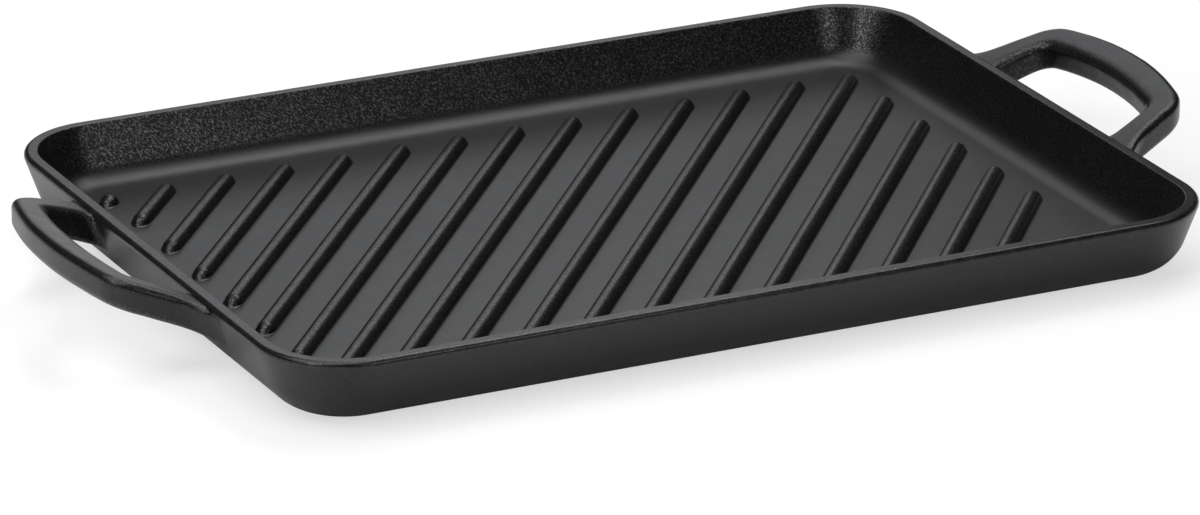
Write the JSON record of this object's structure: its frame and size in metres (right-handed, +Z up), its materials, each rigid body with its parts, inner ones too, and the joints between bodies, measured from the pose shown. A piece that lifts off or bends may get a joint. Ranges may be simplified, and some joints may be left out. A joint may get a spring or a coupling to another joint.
{
  "type": "grill plate",
  "caption": "Shallow rectangular cast-iron grill plate with flared walls, rounded corners, diagonal ribs on the floor and a raised loop handle at each short end, for searing over a hob or fire.",
  "frame": {"origin": "middle of the base, on the surface that the plate stands on", "axes": "+X along the plate's length from handle to handle, +Y across it, +Z up"},
  "size_m": [0.3722, 0.2244, 0.0318],
  "materials": {
    "tray_iron": "black satin, fine sand-cast grain",
    "rib_iron": "black satin, slightly rubbed crests",
    "handle_iron": "black satin, fine sand-cast grain"
  },
  "bodies": {
    "root": {"tray": "tray_iron", "grill_rib_01": "rib_iron", "grill_rib_02": "rib_iron", "grill_rib_03": "rib_iron", "grill_rib_04": "rib_iron", "grill_rib_05": "rib_iron", "grill_rib_06": "rib_iron", "grill_rib_07": "rib_iron", "grill_rib_08": "rib_iron", "grill_rib_09": "rib_iron", "grill_rib_10": "rib_iron", "grill_rib_11": "rib_iron", "grill_rib_12": "rib_iron", "grill_rib_13": "rib_iron", "grill_rib_14": "rib_iron", "grill_rib_15": "rib_iron", "grill_rib_16": "rib_iron", "grill_rib_17": "rib_iron", "grill_rib_18": "rib_iron", "corner_stud": "rib_iron", "left_handle": "handle_iron", "right_handle": "handle_iron"}
  },
  "joints": []
}
